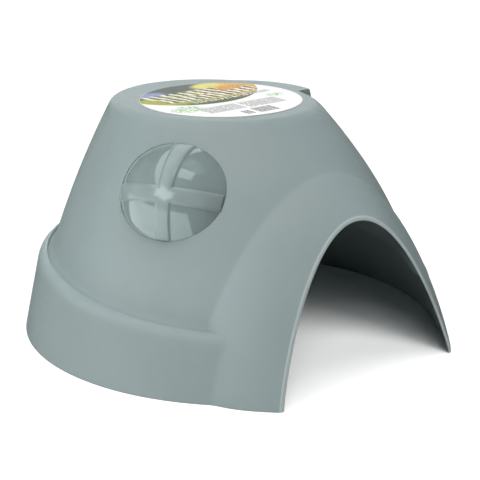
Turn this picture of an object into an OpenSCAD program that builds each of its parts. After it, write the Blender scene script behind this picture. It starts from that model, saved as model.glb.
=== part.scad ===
// Small-pet hideaway: a one-piece moulded shell with an arched entrance hood,
// a clear domed window pressed into its side, and a round paper label on the roof.
// Millimetres. +Z up, entrance towards -Y, floor plane at z = 0.

/* [Shell] */
// footprint width across the skirt, at the floor
base_w = 290; // [240:1:340]
// full length of the skirt oval, at the floor
base_l = 303.2; // [250:0.2:360]
// height of the flat roof above the floor
height = 159; // [120:1:200]
// moulded wall thickness
wall = 3; // [2:0.1:5]
// how far the skirt leans in for each millimetre of height
skirt_draft = 0.212; // [0.05:0.001:0.3]
// height of the ledge above the floor, at the middle
ledge_z = 49.9; // [35:0.1:60]
// how much the ledge rises towards the back for each millimetre
ledge_tilt = 0.0837; // [0:0.0001:0.12]

/* [Cone] */
// reach of the cone towards the entrance, at its foot
foot_front = 133.3; // [120:0.1:150]
// reach of the cone towards the back, at its foot
foot_back = 137.6; // [120:0.1:150]
// half width of the cone at its foot
foot_side = 129; // [110:0.1:145]
// how strongly the cone bellies out towards the entrance
belly_front = 2.33; // [1:0.01:3]
// how strongly the cone bellies out towards the back
belly_back = 2.02; // [1:0.01:3]
// how strongly the cone bellies out at the sides
belly_side = 1.065; // [0.7:0.005:2]

/* [Roof] */
// reach of the roof plate towards the entrance
roof_front = 58.2; // [40:0.1:80]
// reach of the roof plate towards the back
roof_back = 96.1; // [70:0.1:120]
// half width of the roof plate
roof_side = 67.9; // [50:0.1:85]
// size of the rounded edge round the roof plate
roof_round = 5; // [2:0.5:10]
// radius of the low lug beside the roof plate
lug_r = 60; // [56:0.5:62]

/* [Entrance hood] */
// distance from the middle to where the hood leaves the cone
hood_start = 95.6; // [80:0.1:110]
// distance from the middle to the lip, at the floor
lip_reach = 142.7; // [120:0.1:150]
// how much the lip leans back for each millimetre of height
lip_lean = 0.16; // [0:0.01:0.3]
// half width of the hood where it leaves the cone
hood_half = 104; // [90:0.1:120]
// how much narrower each side is at the lip
hood_taper = 27.4; // [10:0.1:40]
// ridge height where the hood leaves the cone
ridge_z = 128.1; // [100:0.1:140]
// straight part of the ridge's fall to the lip
ridge_fall = 12.1; // [0:0.1:20]
// curved part of the ridge's fall to the lip
ridge_curve = 9.8; // [0:0.1:20]
// extra thickness of the rim round the entrance, below zero where it thins
lip_bead = -0.6; // [-1.5:0.1:3]
// softness of the joint between hood and cone
blend = 1; // [1:0.5:12]

/* [Window] */
// radius of the dome's ball
dome_r = 50.7; // [40:0.1:60]
// how much the ball is flattened across the window
dome_flat = 0.895; // [0.8:0.005:1]
// direction of that flattening, turned from straight down the wall
dome_turn = -17.7; // [-90:0.1:90]
// thickness of the clear plastic
dome_t = 2.2; // [1.5:0.1:3]
// width of the cross bars at the middle
bar_w = 10; // [6:0.5:16]
// how far the cross bars stand out of the dome
bar_rise = 1.2; // [0.6:0.1:2]

/* [Label] */
// radius of the round label
label_r = 56.7; // [30:0.1:60]
// thickness of the label
label_t = 0.3; // [0.1:0.05:0.5]

/* [Hidden] */

foot_z = 36.25;
skirt_l = base_l / 2;
skirt_w = base_w / 2;
ledge_r = 128;
tilt_end = 104;
hood_power = 1.394;
lip_power = 1.15;
flank_power = 1.894;
hood_end = 1.4;
bead_from = 0.9;
dome_pos = [-51.5, -26.1, 100.3];
dome_dir = [-0.812, -0.4165, 0.4094];
dome_gap = 0.3;
dome_foot = 0.45;
bar_span = 46;
label_pos = [2.4, 14.1];
middle_y = (skirt_l - lip_reach) / 2;
lug_pos = [17, 15];
lug_front = 2;
lug_depth = 40;
lug_slope = 0.25;

function clamp01(v) = min(1, max(0, v));
function mixv(a, b, t) = a + (b - a) * t;
function bez(p, q, r, u) = (1 - u) * (1 - u) * p + 2 * u * (1 - u) * q + u * u * r;
function smax(a, b, k) = (a + b + sqrt((a - b) * (a - b) + k * k)) / 2;

// Distance from the middle to an oval with the given reaches, in direction th.
// Direction 0 is the entrance.
function oval(front, back, side, th) =
    let (a = (front + back) / 2, off = (front - back) / 2,
         qa = pow(sin(th) / side, 2) + pow(cos(th) / a, 2),
         qb = -2 * cos(th) * off / (a * a),
         qc = off * off / (a * a) - 1)
    (-qb + sqrt(qb * qb - 4 * qa * qc)) / (2 * qa);

function skirt_r(z, th) =
    let (d = skirt_draft * z) oval(skirt_l - d, skirt_l - d, skirt_w - d, th);
function cone_t(z) = clamp01((z - foot_z) / (height - foot_z));
function cone_front(z) = mixv(foot_front, roof_front, pow(cone_t(z), belly_front));
function cone_back(z) = mixv(foot_back, roof_back, pow(cone_t(z), belly_back));
function cone_side(z) = mixv(foot_side, roof_side, pow(cone_t(z), belly_side));
function cone_r(z, th) = oval(cone_front(z), cone_back(z), cone_side(z), th);

// A rib is [share of cone, height, share of the ledge's tilt, inset].
// A share of 0 is the skirt's wall and 1 is the cone's wall.
function rib_z(p, th) = p[1] - p[2] * ledge_tilt * ledge_r * cos(th);
function rib_r(p, th) =
    let (z = rib_z(p, th), c = max(z, foot_z))
    (p[0] == 0 ? skirt_r(z, th) : p[0] == 1 ? cone_r(c, th)
        : mixv(skirt_r(z, th), cone_r(c, th), p[0])) - p[3];

function ring(p) = [p, p, p, 0];
function tilt_at(z) = clamp01((tilt_end - z) / (tilt_end - ledge_z));

outer_rows = concat(
    [ring([0, 0, 0, 0]), ring([0, 15, 0.3, 0]), ring([0, 30, 0.6, 0])],
    [for (u = [0:0.25:1])
        [[0, ledge_z - 6, 1, 0], [0, ledge_z, 1, 0], [0.62, ledge_z + 0.4, 1, 0], u]],
    [ring([0.84, ledge_z - 0.2, 1, 0]), ring([1, ledge_z + 3.4, 1, 0])],
    [for (z = [60, 68, 76, 83, 89, 93, 96, 98.5, 101, 103, 105, 107, 109, 111, 113.5, 116.5, 120,
               124, 128, 133, 140, 148])
        ring([1, z, tilt_at(z), 0])],
    [for (u = [0:0.25:1])
        [[1, height - roof_round, 0, 0], [1, height, 0, 0], [1, height, 0, roof_round], u]]);

inner_rows = concat(
    [ring([0, -2, 0, wall]), ring([0, 20, 0.5, wall]),
     ring([0, ledge_z - 6, 1, wall]), ring([0.3, ledge_z - wall, 1, wall]),
     ring([1, ledge_z - wall + 0.5, 1, wall])],
    [for (z = [58, 68, 78, 86, 92, 96, 99, 101.5, 104, 107, 110, 114, 120, 127, 136, 145, 152])
        ring([1, z, tilt_at(z), wall])],
    [ring([1, height - wall, 0, wall + 6])]);

// The hood: along s it runs from the cone (0) to the lip (1) and a little past it.
function lip_at(z) = lip_reach - lip_lean * z;
function hood_s(x, z) = (x - hood_start) / (lip_at(z) - hood_start);
function ridge(s) = ridge_z - ridge_fall * s - ridge_curve * pow(max(s, 0), 2);
function flank(s) = hood_half - hood_taper * pow(max(s, 0), flank_power);
function skin(s, t) = t <= 0 ? 0 : t + lip_bead * clamp01((s - bead_from) / (1 - bead_from));
function outside(r, th, z, t) =
    let (s = hood_s(r * cos(th), z), w = skin(s, t),
         n = mixv(hood_power, lip_power, clamp01(s)))
    pow(max(z, 0) / (ridge(s) - w), n) + pow(r * sin(th) / (flank(s) - w), 2) - 1;
function seek(lo, hi, th, z, t, k) =
    let (m = (lo + hi) / 2)
    k == 0 ? m : outside(m, th, z, t) > 0 ? seek(lo, m, th, z, t, k - 1)
        : seek(m, hi, th, z, t, k - 1);
function hood_r(th, z, t) =
    cos(th) < 0.2 ? 0 :
    let (hi = (hood_start + hood_end * (lip_at(z) - hood_start)) / cos(th))
    outside(0, th, z, t) > 0 ? 0 : outside(hi, th, z, t) <= 0 ? hi : seek(0, hi, th, z, t, 16);

dirs = concat([for (a = [-40:2:40]) a], [for (a = [43:3:70]) a],
    [for (a = [76:5.2:284.5]) a], [for (a = [290:3:317]) a]);

// A closed body through the rows, joined with the hood; t is the inset of the hood.
module lofted(rows, t, k) {
    m = len(rows);
    n = len(dirs);
    pts = concat(
        [for (s = rows) for (th = dirs)
            let (z = bez(rib_z(s[0], th), rib_z(s[1], th), rib_z(s[2], th), s[3]),
                 c = bez(rib_r(s[0], th), rib_r(s[1], th), rib_r(s[2], th), s[3]),
                 r = smax(c, hood_r(th, z, t), k))
            [r * sin(th), -r * cos(th), z]],
        [[0, 0, rows[0][0][1]], [0, 10, rows[m - 1][0][1] + (t > 0 ? 0 : roof_round)]]);
    sides = [for (i = [0:m - 2]) for (j = [0:n - 1])
        let (a = i * n + j, b = i * n + (j + 1) % n) each [[a, a + n, b + n], [a, b + n, b]]];
    caps = [for (j = [0:n - 1]) let (q = (j + 1) % n)
        each [[m * n, j, q], [m * n + 1, (m - 1) * n + q, (m - 1) * n + j]]];
    polyhedron(points = pts, faces = concat(sides, caps), convexity = 10);
}

// Everything in front of the leaning plane of the entrance lip.
module past_lip() {
    translate([0, -lip_reach, 0])
        rotate([-atan(lip_lean), 0, 0])
            translate([-200, -200, -100])
                cube([400, 200, 400]);
}

// The low lug beside the roof plate: part of a steeper cone, cut off square in front.
// t is how far the body is inside the outer wall.
module lug(t) {
    intersection() {
        translate([lug_pos[0], lug_pos[1], height - t - lug_depth])
            cylinder(r1 = lug_r + lug_slope * (lug_depth + t) - t, r2 = lug_r + lug_slope * t - t,
                     h = lug_depth, $fn = 144);
        translate([0, lug_front + t, 0])
            cube([2 * lug_r, 2 * lug_r, height]);
    }
}

// Turns things built up the z axis to point along the dome's own direction.
module along_dome() {
    translate(dome_pos)
        rotate([0, acos(dome_dir[2]), atan2(dome_dir[1], dome_dir[0])])
            children();
}

// The slightly flattened ball that the dome and its hole are cut from.
module ball(r, n) {
    along_dome()
        rotate([0, 0, dome_turn])
            scale([dome_flat, 1, 1])
                sphere(r = r, $fn = n);
}

module shell() {
    color([0.60, 0.66, 0.65])
        resize([0, 0, 0])
            difference() {
                union() {
                    lofted(outer_rows, 0, blend);
                    lug(0);
                }
                lofted(inner_rows, wall, blend);
                lug(wall);
                past_lip();
                ball(dome_r + dome_gap, 80);
            }
}

// One bar of the cross: a slice of a slightly larger ball.
module bar(turn) {
    intersection() {
        ball(dome_r + bar_rise, 72);
        along_dome()
            rotate([0, 0, turn])
                translate([-bar_span, -bar_w / 2, dome_r * 0.6])
                    cube([2 * bar_span, bar_w, dome_r]);
    }
}

// The dome is the part of a hollow ball that stands outside the shell's inner wall,
// cut off flat at its foot.
module window() {
    color([0.62, 0.70, 0.69, 0.6])
        resize([0, 0, 0])
            difference() {
                union() {
                    ball(dome_r, 80);
                    difference() {
                        union() {
                            bar(0);
                            bar(90);
                        }
                        lofted(outer_rows, 0, blend);
                    }
                }
                ball(dome_r - dome_t, 72);
                lofted(inner_rows, wall, blend);
                along_dome()
                    translate([-80, -80, -100])
                        cube([160, 160, 100 + dome_r * dome_foot]);
            }
}

module label() {
    color([0.95, 0.95, 0.93])
        translate([label_pos[0], label_pos[1], height])
            cylinder(r = label_r, h = label_t, $fn = 96);
}

// Puts the middle of the whole length over the origin.
module centred() {
    translate([0, -middle_y, 0])
        children();
}

centred() shell();
centred() window();
centred() label();
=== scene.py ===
"""Looks for the small-pet hideaway: a moulded shell, a domed window and a round label."""

import math

import bmesh
import bpy
import numpy as np
from mathutils import Matrix, Vector


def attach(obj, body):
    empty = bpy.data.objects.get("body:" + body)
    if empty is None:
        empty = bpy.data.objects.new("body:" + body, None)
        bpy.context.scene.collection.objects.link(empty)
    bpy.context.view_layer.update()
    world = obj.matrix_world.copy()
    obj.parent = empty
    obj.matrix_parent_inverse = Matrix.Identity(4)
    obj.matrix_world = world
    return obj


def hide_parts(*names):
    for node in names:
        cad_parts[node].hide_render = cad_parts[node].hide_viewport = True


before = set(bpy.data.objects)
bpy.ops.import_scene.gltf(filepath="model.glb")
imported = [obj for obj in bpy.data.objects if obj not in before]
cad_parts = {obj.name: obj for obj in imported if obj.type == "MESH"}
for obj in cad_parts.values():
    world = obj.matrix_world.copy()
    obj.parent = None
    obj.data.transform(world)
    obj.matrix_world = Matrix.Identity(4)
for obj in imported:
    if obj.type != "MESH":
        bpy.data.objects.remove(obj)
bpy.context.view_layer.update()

# Everything below is worked out in millimetres round the middle of the skirt's oval,
# with the CAD's own values, and moved to the frame's origin when a mesh is made.
MIDDLE_Y = 4.45
HEIGHT, WALL = 159.0, 3.0
# the skirt's oval, the ledge on top of it and the foot of the body behind the ledge
SKIRT_L, SKIRT_W, DRAFT = 151.6, 145.0, 0.212
LEDGE_Z, TILT, LEDGE_R, TILT_END = 49.9, 0.0837, 128.0, 104.0
FOOT_Z, FOOT_FRONT, FOOT_BACK, FOOT_SIDE = 36.25, 133.3, 137.6, 129.0
# the roof's oval and how far the body bulges on its way up to it
ROOF_FRONT, ROOF_BACK, ROOF_SIDE, ROOF_ROUND, ROOF_MIDDLE = 58.2, 96.1, 67.9, 5.0, 12.0
BELLY_FRONT, BELLY_BACK, BELLY_SIDE = 2.33, 2.02, 1.065
# the entrance hood, from the body out to its leaning lip
HOOD_START, LIP_REACH, LIP_LEAN = 95.6, 142.7, 0.16
HOOD_HALF, HOOD_TAPER, FLANK_POWER = 104.0, 27.4, 1.894
RIDGE_Z, RIDGE_FALL, RIDGE_CURVE = 128.1, 12.1, 9.8
HOOD_POWER, LIP_POWER, LIP_BEAD, BEAD_FROM = 1.394, 1.15, -0.6, 0.9
BLEND_OUT, BLEND_IN = 1.0, 4.0
# the window: part of a hollow ball, a little flattened
DOME_C = np.array([-51.5, -26.1, 100.3])
DOME_N = np.array([-0.812, -0.4165, 0.4094])
DOME_R, DOME_T, DOME_FLAT, DOME_TURN = 50.7, 2.2, 0.895, math.radians(-17.7)
DOME_FOOT, DOME_GAP = 0.45, 0.2
BAR_HALF, BAR_RISE = 5.0, 1.15
# the low lug beside the roof, and the round label on it
LUG_X, LUG_Y, LUG_R, LUG_CUT, LUG_SLOPE = 17.0, 15.0, 60.0, 2.0, 0.25
LABEL_X, LABEL_Y, LABEL_R, LABEL_T = 2.4, 14.1, 56.7, 0.28


# ---------------------------------------------------------------- shape of the walls
def mix(a, b, t):
    return a + (b - a) * t


def bez(p, q, r, u):
    return (1 - u) ** 2 * p + 2 * u * (1 - u) * q + u * u * r


def smooth_max(a, b, k):
    return (a + b + np.sqrt((a - b) ** 2 + k * k)) / 2


def halve(past, lo, hi, steps):
    """Finds where past() turns true between lo and hi, by halving."""
    for _ in range(steps):
        m = (lo + hi) / 2
        over = past(m)
        lo, hi = np.where(over, lo, m), np.where(over, m, hi)
    return (lo + hi) / 2


def oval(front, back, side, th):
    """Distance to an oval in direction th, which is 0 at the entrance."""
    a, off = (front + back) / 2, (front - back) / 2
    s, c = np.sin(th), np.cos(th)
    qa = (s / side) ** 2 + (c / a) ** 2
    qb = -2 * c * off / a**2
    qc = off * off / a**2 - 1
    return (-qb + np.sqrt(qb * qb - 4 * qa * qc)) / (2 * qa)


def skirt_r(z, th):
    d = DRAFT * z
    return oval(SKIRT_L - d, SKIRT_L - d, SKIRT_W - d, th)


def body_reach(z):
    """How far the body reaches to the front, to the back and to the side at a height."""
    t = np.clip((z - FOOT_Z) / (HEIGHT - FOOT_Z), 0, 1)
    return (
        mix(FOOT_FRONT, ROOF_FRONT, t**BELLY_FRONT),
        mix(FOOT_BACK, ROOF_BACK, t**BELLY_BACK),
        mix(FOOT_SIDE, ROOF_SIDE, t**BELLY_SIDE),
    )


def body_level(p, inset):
    """Above 0 outside the body's wall, taken a given depth in, and below 0 inside it."""
    f, b, s = [reach - inset for reach in body_reach(p[..., 2])]
    a, off = (f + b) / 2, (b - f) / 2
    return (p[..., 0] / s) ** 2 + ((p[..., 1] - off) / a) ** 2 - 1


def lug_r(z, th, t):
    """Reach of the low lug beside the roof: part of a steeper cone, cut off square in front."""
    rad = LUG_R + LUG_SLOPE * (HEIGHT - z) - t
    s, c = np.sin(th), np.cos(th)
    along = LUG_X * s - LUG_Y * c
    r = along + np.sqrt(np.maximum(along**2 - LUG_X**2 - LUG_Y**2 + rad**2, 0))
    cut = 1 / (1 + np.exp(-((-r * c) - LUG_CUT - t) / 0.2))
    return np.where((s > 0) & (z > 100), r * cut, 0)


def lip_at(z):
    """How far out the leaning lip stands at a height."""
    return LIP_REACH - LIP_LEAN * z


def outside(r, th, z, t):
    """Above 0 outside the hood's arch, taken a given depth in, and below 0 inside it."""
    s = (r * np.cos(th) - HOOD_START) / (lip_at(z) - HOOD_START)
    w = t + (LIP_BEAD * np.clip((s - BEAD_FROM) / (1 - BEAD_FROM), 0, 1) if t > 0 else 0)
    n = mix(HOOD_POWER, LIP_POWER, np.clip(s, 0, 1))
    ridge = RIDGE_Z - RIDGE_FALL * s - RIDGE_CURVE * np.maximum(s, 0) ** 2
    flank = HOOD_HALF - HOOD_TAPER * np.maximum(s, 0) ** FLANK_POWER
    return (np.maximum(z, 0) / (ridge - w)) ** n + (r * np.sin(th) / (flank - w)) ** 2 - 1


def hood_r(th, z, t):
    """Reach of the hood's skin, or 0 where there is no hood."""
    th, z = np.broadcast_arrays(th, z)
    ahead = np.cos(th) > 0.2
    far = lip_at(z) / np.where(ahead, np.cos(th), 1) * 1.15
    none = outside(np.zeros_like(far), th, z, t) > 0
    r = halve(lambda m: outside(m, th, z, t) > 0, np.zeros_like(far), far, 30)
    r = np.where(outside(far, th, z, t) <= 0, far, r)
    return np.where(ahead & ~none, r, 0)


def lip_start(th, t):
    """Height at which the hood's skin meets the lip's plane, in each direction."""
    half, top = HOOD_HALF - HOOD_TAPER - t, RIDGE_Z - RIDGE_FALL - RIDGE_CURVE - t
    tan = np.where(np.cos(th) > 0.3, np.abs(np.tan(th)), 9)

    def past(z):
        return (z / top) ** LIP_POWER + (lip_at(z) * tan / half) ** 2 - 1

    z = halve(lambda m: past(m) > 0, np.zeros_like(th), np.full_like(th, top), 40)
    return np.where(past(np.zeros_like(th)) >= 0, 0, z)


# ---------------------------------------------------------------- shell
# A rib is (share of the way from the skirt's wall to the body's, height, share of the ledge's
# tilt, inset). A row of the shell is three ribs and a place on the curve that they make.
def rib(values, th):
    share, z, tilt, inset = values
    zz = z - tilt * TILT * LEDGE_R * np.cos(th)
    body = oval(*body_reach(np.maximum(zz, FOOT_Z)), th)
    return mix(skirt_r(zz, th), body, share) - inset, zz


def level(share, z, tilt=None, inset=0.0):
    """A row at one height, which follows the ledge's tilt less and less towards the roof."""
    if tilt is None:
        tilt = np.clip((TILT_END - z) / (TILT_END - LEDGE_Z), 0, 1)
    values = (share, z, tilt, inset)
    return values, values, values, 0.0


def curve(p, q, r, steps):
    """Rows along a curve from rib p to rib r that bends towards rib q."""
    return [(p, q, r, u) for u in steps]


def outer_rows():
    low, top, e = LEDGE_Z - 6, HEIGHT - ROOF_ROUND, ROOF_ROUND
    rows = [level(0, z, z / low) for z in np.linspace(0, low, 13)[:-1]]
    # the ledge's rounded edge, the groove behind it and the foot of the body
    rows += curve((0, low - 0.5, 1, 0), (0, LEDGE_Z + 0.3, 1, 0), (0.54, LEDGE_Z + 0.3, 1, 0),
                  np.linspace(0, 1, 9))
    rows += curve((0.56, LEDGE_Z + 0.25, 1, 0), (0.72, LEDGE_Z - 3.4, 1, 0), (0.86, LEDGE_Z - 0.2, 1, 0),
                  (0.1, 0.25, 0.4, 0.55, 0.7, 0.85, 1))
    rows += curve((0.88, LEDGE_Z + 0.2, 1, 0), (0.98, LEDGE_Z + 0.6, 1, 0), (1, LEDGE_Z + 4.5, 1, 0),
                  (0, 0.25, 0.5, 0.75, 1))
    rows += [level(1, z) for z in np.arange(LEDGE_Z + 6.0, top - 0.6, 1.05)]
    rows += curve((1, top, 0, 0), (1, HEIGHT, 0, 0), (1, HEIGHT, 0, e), np.linspace(0, 1, 9))
    return rows


def inner_rows():
    low, top, e = LEDGE_Z - 8, HEIGHT - 9, 9
    rows = [level(0, z, z / (low + 2), WALL) for z in np.linspace(0, low, 8)[:-1]]
    rows += curve((0, low, 1, WALL), (0, LEDGE_Z - WALL, 1, WALL), (0.7, LEDGE_Z - WALL, 1, WALL),
                  np.linspace(0, 1, 5))
    rows += [level(1, z, 1, WALL) for z in (LEDGE_Z - WALL + 1.2, LEDGE_Z + 4)]
    rows += [level(1, z, None, WALL) for z in np.arange(LEDGE_Z + 8, top, 3.2)]
    rows += curve((1, top, 0, WALL), (1, HEIGHT - WALL, 0, WALL + 0.5), (1, HEIGHT - WALL, 0, WALL + e),
                  np.linspace(0, 1, 5))
    return rows


def skin(rows, th, start, t):
    """The rings of one skin, as reach and height in each direction.

    Where the skin starts at the lip, above the floor, its rows close up over the start.
    """
    reach, high = [], []
    for p, q, r, u in rows:
        c, z = [bez(*v, u) for v in zip(rib(p, th), rib(q, th), rib(r, th))]
        reach.append(c)
        high.append(z)
    reach, high = np.array(reach), np.array(high)
    low, top = 61.0, 141.0
    closed = start + (high - low) * (top - start) / (top - low)
    moved = np.where((start > low) & (high > low) & (high < top), closed, high)
    moved = np.maximum(moved, start)
    found = np.empty_like(reach)
    for j in range(len(th)):
        rising = np.maximum.accumulate(high[:, j]) + 1e-6 * np.arange(len(rows))
        found[:, j] = np.interp(moved[:, j], rising, reach[:, j])
    body = np.where(np.abs(moved - high) > 1e-9, found, reach)
    # the lug stands beside the roof, so its rows keep close to the roof's height
    inset = np.array([bez(p[3], q[3], r[3], u) for p, q, r, u in rows])
    inset = np.maximum(inset[:, None] - t, 0)
    roof = HEIGHT - t
    squeezed = np.where(moved > roof - ROOF_ROUND, roof - 0.35 * (roof - moved), moved)
    lug = lug_r(squeezed, th, t) - 0.35 * inset
    z = np.where(lug > body, squeezed, moved)
    body = np.maximum(body, lug)
    r = smooth_max(body, hood_r(th, z, t), BLEND_OUT if t == 0 else BLEND_IN)
    stop = np.where(np.cos(th) > 0.2, lip_at(z) / np.maximum(np.cos(th), 0.2), 1e9)
    return np.minimum(r, stop), z


def directions():
    """Directions round the shell, 0 at the entrance, closer together where detail needs it."""
    half = HOOD_HALF - HOOD_TAPER
    feet = [math.degrees(math.atan((half - t) / LIP_REACH)) for t in (0, WALL + LIP_BEAD)]
    front = [*np.arange(0.5, 23.9, 0.5), *np.arange(24.2, 37, 0.32), *np.arange(37.4, 56, 0.45)]
    front = sorted([a for a in front if min(abs(a - f) for f in feet) > 0.12] + feet)
    right = [*np.arange(57.2, 89, 1.3), *np.arange(89.6, 95.1, 0.28), *np.arange(96, 180, 1.4)]
    left = [*np.arange(181, 303, 1.4)]
    return np.radians([0, *front, *right, *left, *[360 - a for a in front[::-1]]])


def place(v):
    """From millimetres round the skirt's middle to the frame's metres, a hair inside the CAD."""
    return (np.asarray(v, float) - [0, MIDDLE_Y, 0]) * [0.9995, 0.9999, 0.9999] * 0.001


def new_object(name, verts, faces, smooth=math.radians(35)):
    me = bpy.data.meshes.new(name)
    me.from_pydata([tuple(v) for v in verts], [], [tuple(int(i) for i in f) for f in faces])
    me.validate()
    me.update()
    ob = bpy.data.objects.new(name, me)
    bpy.context.scene.collection.objects.link(ob)
    me.shade_smooth()
    me.set_sharp_from_angle(angle=smooth)
    return ob


def closed_faces(rings, n):
    """Faces of a closed skin: a first point, rings of n points each, and a last point."""
    faces, last = [], 1 + rings * n
    for j in range(n):
        q = (j + 1) % n
        faces.append((0, 1 + j, 1 + q))
        faces.append((last, last - n + q, last - n + j))
        for i in range(1, last - n, n):
            faces.append((i + j, i + n + j, i + n + q, i + q))
    return faces


def clean(ob, merge=0.0):
    """Makes the faces look outwards, and joins points closer together than merge."""
    bm = bmesh.new()
    bm.from_mesh(ob.data)
    if merge:
        bmesh.ops.remove_doubles(bm, verts=bm.verts, dist=merge)
        bmesh.ops.dissolve_degenerate(bm, dist=merge, edges=bm.edges)
    bmesh.ops.recalc_face_normals(bm, faces=bm.faces)
    bm.to_mesh(ob.data)
    bm.free()


def build_shell():
    """The moulding as one closed skin: roof, outer wall, rounded rim, inner wall and ceiling."""
    th = directions()
    start_out, start_in = lip_start(th, 0), lip_start(th, WALL + LIP_BEAD)
    soft = 0.95 - 0.45 * start_out / 108

    def xyz(r, z):
        return np.stack([r * np.sin(th), -r * np.cos(th), z + 0 * r], -1)

    def edge(start, t):
        """The sharp corner where a skin meets the lip's plane or the floor."""
        r, _ = skin([level(0, 0.0, 0, t)], th, start, t)
        return xyz(np.where(start > 0, lip_at(start) / np.cos(th), r[0]), start)

    def towards(p, q, d):
        v = q - p
        m = np.linalg.norm(v, axis=1, keepdims=True)
        return p + v * np.minimum(d / np.maximum(m, 1e-6), 0.45)

    def shrunk(ring, middle, shares):
        return [middle + (ring - middle) * [f, f, 1] for f in shares]

    corner_out, corner_in = edge(start_out, 0), edge(start_in, WALL)
    outer = list(xyz(*skin(outer_rows(), th, start_out + soft, 0)))
    inner = list(xyz(*skin(inner_rows(), th, start_in + soft, WALL)))
    at_floor = xyz(np.where(start_out > 0, lip_at(0) / np.maximum(np.cos(th), 0.3), 0), 0 * th)
    foot = (start_out > 0) & (start_in <= 0)
    middle = np.where(foot[:, None], at_floor, (corner_out + corner_in) / 2)
    flat_out, flat_in = towards(corner_out, middle, 0.7), towards(corner_in, middle, 0.6)
    rim = [bez(outer[0], corner_out, flat_out, u) for u in (0.25, 0.5, 0.75, 1)] + [middle]
    rim += [bez(inner[0], corner_in, flat_in, u) for u in (1, 0.75, 0.5, 0.25)]
    above = np.array([0, ROOF_MIDDLE, HEIGHT])
    below = above - [0, 0, WALL]
    outer += shrunk(outer[-1], above, (0.985, 0.8, 0.5, 0.25))
    inner += shrunk(inner[-1], below, (0.97, 0.6, 0.3))
    rings = outer[::-1] + rim + inner
    verts = [above, *np.concatenate(rings), below]
    ob = new_object("shell_moulding", place(verts), closed_faces(len(rings), len(th)))
    clean(ob, 2e-6)
    return ob


# ---------------------------------------------------------------- window
def dome_axes():
    """Level across the window, up the wall, and straight out of it."""
    out = DOME_N / np.linalg.norm(DOME_N)
    across = np.cross([0, 0, 1], out)
    across /= np.linalg.norm(across)
    return across, np.cross(out, across), out


def dome_point(far, phi, radius):
    """Point of the flattened ball, far from its axis in one direction of the window's plane."""
    across, up, out = dome_axes()
    x, y = [np.asarray(far * turn(phi))[..., None] for turn in (np.cos, np.sin)]
    c, s = math.cos(DOME_TURN), math.sin(DOME_TURN)
    long, short = x * c + y * s, (y * c - x * s) / DOME_FLAT
    h = np.sqrt(np.maximum(radius**2 - long**2 - short**2, 1))
    return DOME_C + x * across + y * up + h * out


def dome_reach(phi, radius, inset):
    """Distance from the axis at which the ball sinks a given depth into the wall, or to its foot."""
    phi = np.asarray(phi, float)
    wide = np.hypot(np.cos(phi - DOME_TURN), np.sin(phi - DOME_TURN) / DOME_FLAT)
    foot = math.sqrt(radius**2 - (DOME_FOOT * DOME_R) ** 2) / wide
    return halve(lambda m: body_level(dome_point(m, phi, radius), inset) <= 0,
                 np.full_like(phi, 8.0), foot, 36)


def cut_window_hole(shell):
    """Takes the flattened ball, a little larger, out of the shell."""
    bm = bmesh.new()
    bmesh.ops.create_icosphere(bm, subdivisions=6, radius=(DOME_R + DOME_GAP) * 0.001)
    me = bpy.data.meshes.new("tool")
    bm.to_mesh(me)
    bm.free()
    across, up, out = dome_axes()
    c, s = math.cos(DOME_TURN), math.sin(DOME_TURN)
    long, short = c * across + s * up, (-s * across + c * up) * DOME_FLAT
    turn = Matrix([[long[i], short[i], out[i]] for i in range(3)]).to_4x4()
    me.transform(Matrix.Translation(place(DOME_C)) @ turn)
    tool = bpy.data.objects.new("tool", me)
    bpy.context.scene.collection.objects.link(tool)
    cut = shell.modifiers.new("window_hole", "BOOLEAN")
    cut.operation, cut.solver, cut.object = "DIFFERENCE", "EXACT", tool
    bpy.context.view_layer.update()
    solid = shell.data
    dg = bpy.context.evaluated_depsgraph_get()
    with_hole = bpy.data.meshes.new_from_object(shell.evaluated_get(dg))
    shell.modifiers.clear()
    shell.data = with_hole
    bpy.data.meshes.remove(solid)
    bpy.data.objects.remove(tool)
    with_hole.shade_smooth()
    with_hole.set_sharp_from_angle(angle=math.radians(35))


def build_dome():
    n, rows, spread = 256, 56, 1.2
    phi = np.arange(n) * 2 * np.pi / n
    steps = np.sin(np.linspace(0, 1, rows + 1)[1:] * spread) / math.sin(spread)
    rings = []
    for radius, shares in ((DOME_R, steps), (DOME_R - DOME_T, steps[::-1])):
        reach = dome_reach(phi, radius, WALL)
        rings += [dome_point(reach * k, phi, radius) for k in shares]
    crowns = [dome_point(np.zeros(1), 0.0, r) for r in (DOME_R, DOME_R - DOME_T)]
    verts = np.concatenate([crowns[0], *rings, crowns[1]])
    return new_object("window_dome", place(verts), closed_faces(len(rings), n))


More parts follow.
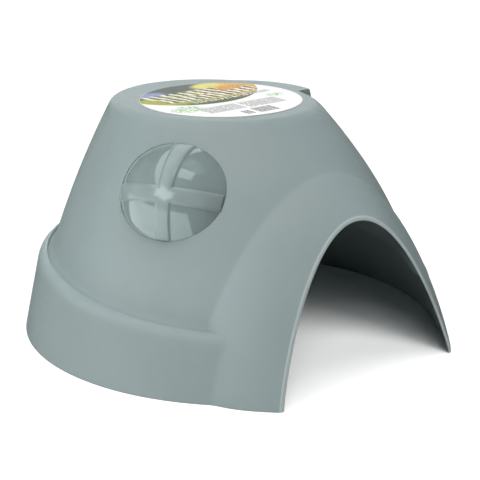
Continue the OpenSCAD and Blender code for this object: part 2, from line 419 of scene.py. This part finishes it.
def build_cross():
    """Two raised bars crossing at the dome's crown; they widen a little towards the rim."""
    # half of the bar's section, from its middle down into the dome: shares of half width and rise
    half = [(0.0, 1.04), (0.3, 1.03), (0.6, 1.0), (0.8, 0.93), (0.9, 0.74), (0.97, 0.42),
            (1.05, 0.12), (1.14, 0.03), (1.22, -0.5)]
    section = np.array([(-x, y) for x, y in half[:0:-1]] + half)
    side, lift = section[:, 0], section[:, 1]
    cols, c, spread = 65, len(section), 1.1
    verts, faces = [], []
    for turn, widen in ((0.0, (0.05, 0.12)), (math.pi / 2, (0.45, 0.02))):
        ends = [dome_reach(turn + k, DOME_R, -0.2) for k in (0, math.pi)]
        base = len(verts)
        for k in np.linspace(-1, 1, cols):
            k = math.sin(k * spread) / math.sin(spread)
            along = (ends[0] if k > 0 else ends[1]) * k
            wide = BAR_HALF * (1 + (widen[0] if k > 0 else widen[1]) * abs(k) ** 2.2)
            blunt = math.sqrt(max(1 - (1 - min((1 - abs(k)) / 0.03, 1)) ** 2, 0))
            p = dome_point(np.hypot(along, side * wide), turn + np.arctan2(side * wide, along), DOME_R)
            rise = np.where(lift > 0, lift * BAR_RISE * blunt - 0.05, lift)[:, None]
            verts += list(DOME_C + (p - DOME_C) * (1 + rise / DOME_R))
        for i in range(base, base + (cols - 1) * c, c):
            for j in range(c):
                q = (j + 1) % c
                faces.append((i + j, i + c + j, i + c + q, i + q))
        faces.append(tuple(range(base, base + c)))
        faces.append(tuple(range(base + cols * c - 1, base + (cols - 1) * c - 1, -1)))
    ob = new_object("window_cross", place(verts), faces, math.radians(50))
    clean(ob)
    return ob


# ---------------------------------------------------------------- label
def build_label():
    n, rows = 160, 24
    a = np.arange(n) * 2 * np.pi / n
    top, bottom = HEIGHT + LABEL_T, HEIGHT + 0.02

    def ring(r, z):
        return np.stack([LABEL_X + r * np.cos(a), LABEL_Y + r * np.sin(a), 0 * a + z], -1)

    rings = [ring(LABEL_R * i / rows, top) for i in range(1, rows + 1)] + [ring(LABEL_R, bottom)]
    middle = np.array([[LABEL_X, LABEL_Y, 0.0]])
    verts = np.concatenate([middle + [0, 0, top], *rings, middle + [0, 0, bottom]])
    return new_object("roof_label", place(verts), closed_faces(len(rings), n))


# ---------------------------------------------------------------- materials
class Graph:
    """Short ways to add shader nodes to a new material."""

    def __init__(self, name):
        self.material = bpy.data.materials.new(name)
        self.material.use_nodes = True
        self.tree = self.material.node_tree
        self.bsdf = self.tree.nodes["Principled BSDF"]

    def link(self, value, socket):
        if isinstance(value, bpy.types.NodeSocket):
            self.tree.links.new(value, socket)
        else:
            socket.default_value = value

    def node(self, kind, **values):
        n = self.tree.nodes.new(kind)
        for key, value in values.items():
            self.link(value, n.inputs[key.replace("_", " ")])
        return n

    def math(self, op, a, b=0.0):
        n = self.tree.nodes.new("ShaderNodeMath")
        n.operation = op
        self.link(a, n.inputs[0])
        self.link(b, n.inputs[1])
        return n.outputs[0]

    def add(self, a, b):
        return self.math("ADD", a, b)

    def sub(self, a, b):
        return self.math("SUBTRACT", a, b)

    def over(self, a, b):
        return self.math("DIVIDE", a, b)

    def times(self, *values):
        product = values[0]
        for v in values[1:]:
            product = self.math("MULTIPLY", product, v)
        return product

    def step(self, v, lo, hi, out=(0.0, 1.0)):
        n = self.tree.nodes.new("ShaderNodeMapRange")
        n.interpolation_type = "SMOOTHSTEP"
        for i, x in enumerate((v, lo, hi, *out)):
            self.link(x, n.inputs[i])
        return n.outputs[0]

    def mix(self, a, b, share):
        n = self.tree.nodes.new("ShaderNodeMix")
        n.data_type = "RGBA"
        self.link(share, n.inputs[0])
        for x, socket in ((a, n.inputs[6]), (b, n.inputs[7])):
            self.link((*x, 1.0) if isinstance(x, tuple) and len(x) == 3 else x, socket)
        return n.outputs[2]

    def coords(self):
        return self.tree.nodes.new("ShaderNodeTexCoord").outputs["Object"]

    def vector(self, **values):
        return self.node("ShaderNodeCombineXYZ", **values).outputs[0]

    def noise(self, vector, scale, detail=3.0, rough=0.5):
        n = self.node("ShaderNodeTexNoise", Vector=vector, Scale=scale, Detail=detail, Roughness=rough)
        return n.outputs["Fac"]

    def bump(self, height, mm, strength=1.0, under=None):
        n = self.node("ShaderNodeBump", Height=height, Strength=strength, Distance=mm * 0.001)
        if under is not None:
            self.link(under, n.inputs["Normal"])
        return n.outputs["Normal"]

    def finish(self, **values):
        for key, value in values.items():
            self.link(value, self.bsdf.inputs[key.replace("_", " ")])
        return self.material


def shade(colour, factor):
    return tuple(v * factor for v in colour)


def moulded_plastic(name, colour, rough):
    """Satin moulded plastic: spark-eroded grain, faint flow marks, dust, and a painted highlight that
    lightens the colour along the rim.
    """
    g = Graph(name)
    at = g.coords()
    cloud = g.noise(at, 14.0, 4.0, 0.55)
    grain = g.noise(at, 1900.0, 2.0, 0.6)
    orange = g.noise(at, 420.0, 3.0, 0.5)
    dust = g.noise(at, 90.0, 6.0, 0.7)
    c = g.mix(shade(colour, 0.965), shade(colour, 1.035), g.step(cloud, 0.3, 0.7))
    c = g.mix(c, shade(colour, 0.93), g.step(grain, 0.42, 0.72, (0.0, 0.5)))
    # within about half a millimetre of the lip's plane the colour is lighter: a painted highlight along
    # the rim
    xyz = g.node("ShaderNodeSeparateXYZ", Vector=at)
    lean = g.times(xyz.outputs[2], -LIP_LEAN)
    lip = g.add(g.add(xyz.outputs[1], (LIP_REACH + MIDDLE_Y) * 0.001), lean)
    c = g.mix(c, tuple(0.16 + v for v in colour), g.step(lip, 0.0010, 0.0004))
    r = g.step(orange, 0.25, 0.75, (rough - 0.04, rough + 0.05))
    r = g.add(r, g.step(dust, 0.45, 0.7, (0.0, 0.05)))
    n = g.bump(grain, 0.03, 0.6, g.bump(orange, 0.05, 0.5))
    return g.finish(Base_Color=c, Roughness=r, Normal=n)


def glossy_plastic(name, colour, rough, through, ior):
    """Polished plastic with a faint ripple and hairline scuffs; through is how clear it is."""
    g = Graph(name)
    at = g.coords()
    ripple = g.noise(at, 60.0, 2.0, 0.4)
    scuff = g.noise(at, 700.0, 5.0, 0.75)
    c = g.mix(shade(colour, 0.95), shade(colour, 1.05), g.step(ripple, 0.3, 0.7))
    r = g.step(scuff, 0.5, 0.8, (rough, rough + 0.12))
    n = g.bump(ripple, 0.05, 0.35)
    return g.finish(Base_Color=c, Roughness=r, Normal=n, Transmission_Weight=through, IOR=ior,
                    Specular_Tint=(0.82, 1.0, 0.98, 1.0))


def printed_label(name):
    """A round coated paper label: an abstract meadow, rows of plain dashes and plain strips of bars."""
    g = Graph(name)
    # u and v run from -1 to 1 across the label
    at = g.node("ShaderNodeSeparateXYZ", Vector=g.coords())
    u = g.over(g.sub(at.outputs[0], LABEL_X * 0.001), LABEL_R * 0.001)
    v = g.over(g.sub(at.outputs[1], (LABEL_Y - MIDDLE_Y) * 0.001), LABEL_R * 0.001)
    flat = g.vector(X=u, Y=v)

    def far(x, y, sx=1.0, sy=1.0):
        dx, dy = g.over(g.sub(u, x), sx), g.over(g.sub(v, y), sy)
        return g.math("SQRT", g.add(g.times(dx, dx), g.times(dy, dy)))

    def blob(x, y, sx, sy, soft=0.3):
        return g.step(far(x, y, sx, sy), 1.0 + soft, 1.0 - soft)

    def between(x, lo, hi, e):
        return g.times(g.step(x, lo - e, lo + e), g.step(x, hi + e, hi - e))

    def block(x0, x1, y0, y1):
        return g.times(between(u, x0, x1, 0.006), between(v, y0, y1, 0.006))

    def stripes(across, count, share, soft=0.12):
        wave = g.math("FRACT", g.times(across, count))
        return g.step(g.math("ABSOLUTE", g.sub(wave, 0.5)), share / 2 + soft, share / 2 - soft)

    fleck = g.noise(flat, 9.0, 5.0, 0.65)
    fine = g.noise(flat, 38.0, 3.0, 0.6)
    paper = g.mix((0.70, 0.705, 0.70), (0.74, 0.745, 0.74), fine)
    # the picture fills the upper part of the disc, down to a shallow arc
    art = g.times(g.step(far(-0.03, 0.83), 1.008, 0.996), g.step(far(0, 0), 1.0, 0.992))
    meadow = g.mix((0.46, 0.48, 0.07), (0.75, 0.50, 0.12), g.step(g.add(u, fleck), 0.1, 1.0))
    low = g.step(g.add(v, g.times(fleck, 0.22)), 0.22, 0.06)
    meadow = g.mix(meadow, (0.10, 0.17, 0.06), low)
    sky = g.mix((0.10, 0.13, 0.115), (0.16, 0.2, 0.18), fleck)
    sky = g.mix(sky, (0.30, 0.37, 0.58), blob(-0.53, 0.70, 0.17, 0.13))
    horizon = g.step(g.add(v, g.times(u, -0.14)), 0.60, 0.68)
    picture = g.mix(meadow, sky, horizon)
    picture = g.mix(picture, (0.85, 0.80, 0.25), blob(0.38, 0.74, 0.24, 0.16))
    flowers = g.times(blob(0.58, 0.55, 0.28, 0.24), g.step(fleck, 0.4, 0.6))
    picture = g.mix(picture, (0.90, 0.45, 0.10), flowers)
    earth = g.times(blob(0.48, 0.46, 0.3, 0.14), g.step(fine, 0.5, 0.62))
    picture = g.mix(picture, (0.34, 0.12, 0.07), earth)
    # three arched rows of pale grass blades, each with a darker shade beside it
    for row_v, tall, left, right, lean, count, bow in (
        (0.50, 0.12, -0.74, 0.36, -0.3, 7.3, 0.10),
        (0.23, 0.12, -0.66, 0.78, -0.25, 8.6, 0.16),
        (0.01, 0.045, -0.40, 0.60, -0.2, 15.0, 0.12),
    ):
        arch = g.sub(v, g.sub(row_v, g.times(u, u, -bow)))
        band = g.step(g.math("ABSOLUTE", arch), tall + 0.012, tall - 0.012)
        band = g.times(band, between(u, left, right, 0.02))
        wobble = g.add(g.sub(u, g.times(arch, lean)), g.times(fleck, 0.16))
        beside = stripes(g.sub(wobble, 0.03), count, 0.66)
        shadow = g.times(band, beside, g.step(fine, 0.25, 0.5, (0.6, 1.0)))
        picture = g.mix(picture, (0.05, 0.08, 0.04), shadow)
        picture = g.mix(picture, (1.0, 1.0, 0.94), g.times(band, stripes(wobble, count, 0.40)))
    c = g.mix(paper, g.mix((0.0, 0.0, 0.0), picture, 0.72), art)
    # small green leaves, rows of dashes and two strips of bars on the white part
    leaf = g.step(g.noise(flat, 26.0, 2.0, 0.5), 0.47, 0.55)
    c = g.mix(c, (0.20, 0.40, 0.12), g.times(leaf, blob(-0.68, -0.22, 0.20, 0.16), g.sub(1.0, art)))
    c = g.mix(c, (0.22, 0.40, 0.16), g.times(leaf, blob(0.70, -0.20, 0.12, 0.07)))
    rows = g.math("FLOOR", g.times(v, 26.0))
    dash = g.step(g.noise(g.vector(X=g.times(u, 30.0), Y=rows), 1.0, 1.0), 0.36, 0.44)
    lines = g.times(stripes(v, 26.0, 0.5), dash)
    for box in ((-0.60, -0.05, -0.57, -0.29), (0.0, 0.58, -0.57, -0.29), (0.50, 0.80, 0.0, 0.10)):
        c = g.mix(c, (0.17, 0.17, 0.17), g.times(lines, block(*box)))
    bars = g.step(g.noise(g.vector(X=g.times(u, 46.0)), 1.0, 0.0), 0.47, 0.50)
    for box in ((-0.27, -0.15, -0.86, -0.69), (-0.08, 0.22, -0.87, -0.64)):
        c = g.mix(c, (0.03, 0.03, 0.03), g.times(bars, block(*box)))
    # the cut edge of the paper
    c = g.mix(c, (0.60, 0.60, 0.58), g.step(far(0, 0), 0.991, 0.997))
    r = g.step(fine, 0.3, 0.7, (0.42, 0.52))
    waves = g.bump(g.noise(flat, 2.2, 2.0), 0.12, 0.5)
    return g.finish(Base_Color=c, Roughness=r, Normal=waves, Specular_IOR_Level=0.25)


def pale_floor(name):
    g = Graph(name)
    grain = g.noise(g.coords(), 300.0, 3.0)
    return g.finish(Base_Color=g.mix((0.925, 0.925, 0.925), (0.935, 0.935, 0.935), grain), Roughness=0.9)


# ---------------------------------------------------------------- the object
shell = build_shell()
cut_window_hole(shell)
dome = build_dome()
cross = build_cross()
label = build_label()

# each piece gets its material, hangs under the root body and hides the CAD node it stands in for
for piece, material, node in (
    (shell, moulded_plastic("satin_moulded_plastic", (0.23, 0.285, 0.285), 0.42), "shell"),
    (dome, glossy_plastic("clear_tinted_plastic", (0.22, 0.28, 0.272), 0.05, 0.3, 1.8), "window"),
    (cross, glossy_plastic("polished_cross", (0.175, 0.218, 0.216), 0.15, 0.0, 1.5), "window"),
    (label, printed_label("printed_paper"), "label"),
):
    piece.data.materials.clear()
    piece.data.materials.append(material)
    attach(piece, "root")
    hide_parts(node)


# ---------------------------------------------------------------- stage
def build_floor():
    half = 12.0
    me = bpy.data.meshes.new("floor")
    corners = [(-half, -half, 0), (half, -half, 0), (half, half, 0), (-half, half, 0)]
    me.from_pydata(corners, [], [(0, 1, 2, 3)])
    me.materials.append(pale_floor("pale_floor"))
    ob = bpy.data.objects.new("floor", me)
    bpy.context.scene.collection.objects.link(ob)
    ob.visible_glossy = False
    return ob


def build_world():
    """A plain white backdrop that the camera sees; the lamps do the lighting."""
    world = bpy.data.worlds.new("studio")
    bpy.context.scene.world = world
    world.use_nodes = True
    bg = world.node_tree.nodes["Background"]
    bg.inputs["Color"].default_value = (1, 1, 1, 1)
    bg.inputs["Strength"].default_value = 1.0
    for ray in ("diffuse", "glossy", "transmission", "scatter"):
        setattr(world.cycles_visibility, ray, False)


def direction(az, el):
    """Unit vector to a lamp: azimuth runs from the entrance round towards the window side."""
    a, e = math.radians(az), math.radians(el)
    return Vector((-math.sin(a) * math.cos(e), -math.cos(a) * math.cos(e), math.sin(e)))


def add_lamp(name, data, pointing, targets):
    """Puts a lamp in the scene that lights only its targets, so each is exposed on its own."""
    ob = bpy.data.objects.new(name, data)
    ob.rotation_mode = "QUATERNION"
    ob.rotation_quaternion = pointing.to_track_quat("-Z", "Y")
    bpy.context.scene.collection.objects.link(ob)
    lit = bpy.data.collections.new(name + "_targets")
    for target in targets:
        lit.objects.link(target)
    ob.light_linking.receiver_collection = lit
    return ob


def softbox(name, targets, at, size, power, aim=(0, 0, 0.08)):
    """A rectangle of light, in metres and watts, aimed at a point."""
    d = bpy.data.lights.new(name, "AREA")
    d.shape, d.size, d.size_y = "RECTANGLE", size[0], size[1]
    d.energy = power
    ob = add_lamp(name, d, Vector(aim) - Vector(at), targets)
    ob.location = at
    ob.visible_camera = False


def sun(name, targets, az, el, power, spread=30):
    """A distant soft lamp: it lights everything evenly and leaves no reflection."""
    d = bpy.data.lights.new(name, "SUN")
    d.energy = power
    d.angle = math.radians(spread)
    ob = add_lamp(name, d, -direction(az, el), targets)
    ob.visible_glossy = False


floor = [build_floor()]
build_world()
body, panes = [shell, label], [dome, cross]
softbox("window_side", body, (-0.95, 0.08, 0.3), (2.1, 0.6), 4.4, (0, 0.08, 0.2))
softbox("behind_high", body, direction(165, 62) * 1.2, (2.0, 0.9), 3.4)
softbox("roof_sheen", body, direction(215, 20) * 1.6, (1.6, 0.5), 3.2, (0, 0, 0.16))
sun("part_side", body + panes, 85, 58, 1.2)
sun("part_top", body + panes, 0, 89, 2.7)
sun("part_far_side", body, -80, 30, 0.5)
sun("floor_front", floor, 0, 35, 2.1)
sun("floor_side", floor, 30, 45, 1.6)
sun("floor_top", floor, 0, 89, 1.5)
softbox("floor_back", floor, (-0.3, 0.5, 0.45), (0.5, 0.4), 2.2, (-0.13, 0.22, 0))
# reflections in the clear dome
softbox("pane_low", panes, (-0.19, 0.019, 0.061), (0.362, 0.118), 0.2, (-0.09, 0.019, 0.08))
softbox("pane_high", panes, direction(165, 64) * 1.2, (2.6, 0.55), 7.0)
softbox("pane_glint", panes, (-0.95, -0.02, 0.58), (0.5, 0.35), 3.0, (-0.09, -0.05, 0.1))
softbox("pane_spot", panes, direction(66, 70), (0.35, 0.25), 0.5)
softbox("pane_dot", panes, direction(-130, 55), (0.06, 0.06), 0.25)

cam_data = bpy.data.cameras.new("camera")
cam_data.sensor_width = 36
cam_data.lens = 103.356
cam = bpy.data.objects.new("camera", cam_data)
cam.location = (-0.58493, -0.72728, 0.35931)
cam.rotation_mode = "QUATERNION"
cam.rotation_quaternion = Vector((0.6038, 0.7361, -0.30623)).to_track_quat("-Z", "Y")
bpy.context.scene.collection.objects.link(cam)
bpy.context.scene.camera = cam
bpy.context.scene.view_settings.view_transform = "Standard"
